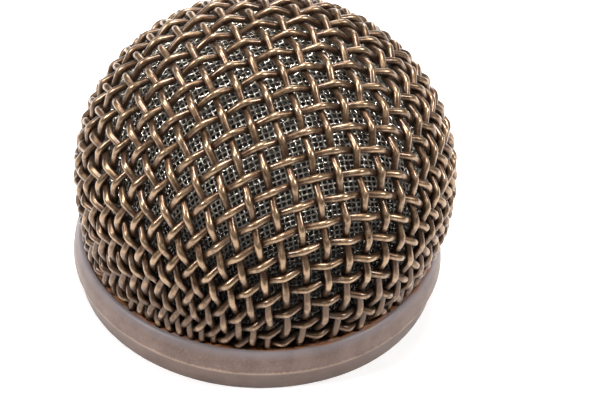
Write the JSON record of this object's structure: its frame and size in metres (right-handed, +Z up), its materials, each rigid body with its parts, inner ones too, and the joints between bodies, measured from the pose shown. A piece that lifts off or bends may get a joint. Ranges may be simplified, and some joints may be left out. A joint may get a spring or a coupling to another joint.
{
  "type": "microphone pop filter grille",
  "caption": "Ball-shaped microphone pop filter: coarse woven wire dome over a fine screen and foam liner, gripped in a low round collar with a threaded sleeve.",
  "frame": {"origin": "middle of the footprint, on the collar's flat bottom; the ball stands 0.35 mm to +X of it and the collar 0.35 mm to -X", "axes": "+Z up the ball's axis to the crown, -Y towards the side seen in front"},
  "size_m": [0.052, 0.0516, 0.0401],
  "materials": {
    "bronze_wire": "aged bronze-plated wire, satin, brighter on the crests",
    "tinned_screen": "fine plated woven wire",
    "brass_ring": "plain brass",
    "foam": "open-cell foam, dark",
    "collar_enamel": "satin fawn grey moulding"
  },
  "bodies": {
    "root": {"warp_wire_01": "bronze_wire", "warp_wire_02": "bronze_wire", "warp_wire_03": "bronze_wire", "warp_wire_04": "bronze_wire", "warp_wire_05": "bronze_wire", "warp_wire_06": "bronze_wire", "warp_wire_07": "bronze_wire", "warp_wire_08": "bronze_wire", "warp_wire_09": "bronze_wire", "warp_wire_10": "bronze_wire", "warp_wire_11": "bronze_wire", "warp_wire_12": "bronze_wire", "warp_wire_13": "bronze_wire", "warp_wire_14": "bronze_wire", "warp_wire_15": "bronze_wire", "warp_wire_16": "bronze_wire", "warp_wire_17": "bronze_wire", "warp_wire_18": "bronze_wire", "warp_wire_19": "bronze_wire", "warp_wire_20": "bronze_wire", "warp_wire_21": "bronze_wire", "warp_wire_22": "bronze_wire", "warp_wire_23": "bronze_wire", "warp_wire_24": "bronze_wire", "warp_wire_25": "bronze_wire", "warp_wire_26": "bronze_wire", "weft_wire_01": "bronze_wire", "weft_wire_02": "bronze_wire", "weft_wire_03": "bronze_wire", "weft_wire_04": "bronze_wire", "weft_wire_05": "bronze_wire", "weft_wire_06": "bronze_wire", "weft_wire_07": "bronze_wire", "weft_wire_08": "bronze_wire", "weft_wire_09": "bronze_wire", "weft_wire_10": "bronze_wire", "weft_wire_11": "bronze_wire", "weft_wire_12": "bronze_wire", "weft_wire_13": "bronze_wire", "weft_wire_14": "bronze_wire", "weft_wire_15": "bronze_wire", "weft_wire_16": "bronze_wire", "weft_wire_17": "bronze_wire", "weft_wire_18": "bronze_wire", "weft_wire_19": "bronze_wire", "weft_wire_20": "bronze_wire", "weft_wire_21": "bronze_wire", "weft_wire_22": "bronze_wire", "weft_wire_23": "bronze_wire", "weft_wire_24": "bronze_wire", "weft_wire_25": "bronze_wire", "weft_wire_26": "bronze_wire", "edge_ring": "brass_ring", "inner_screen": "tinned_screen", "foam_liner": "foam", "collar": "collar_enamel", "threaded_sleeve": "brass_ring"}
  },
  "joints": []
}
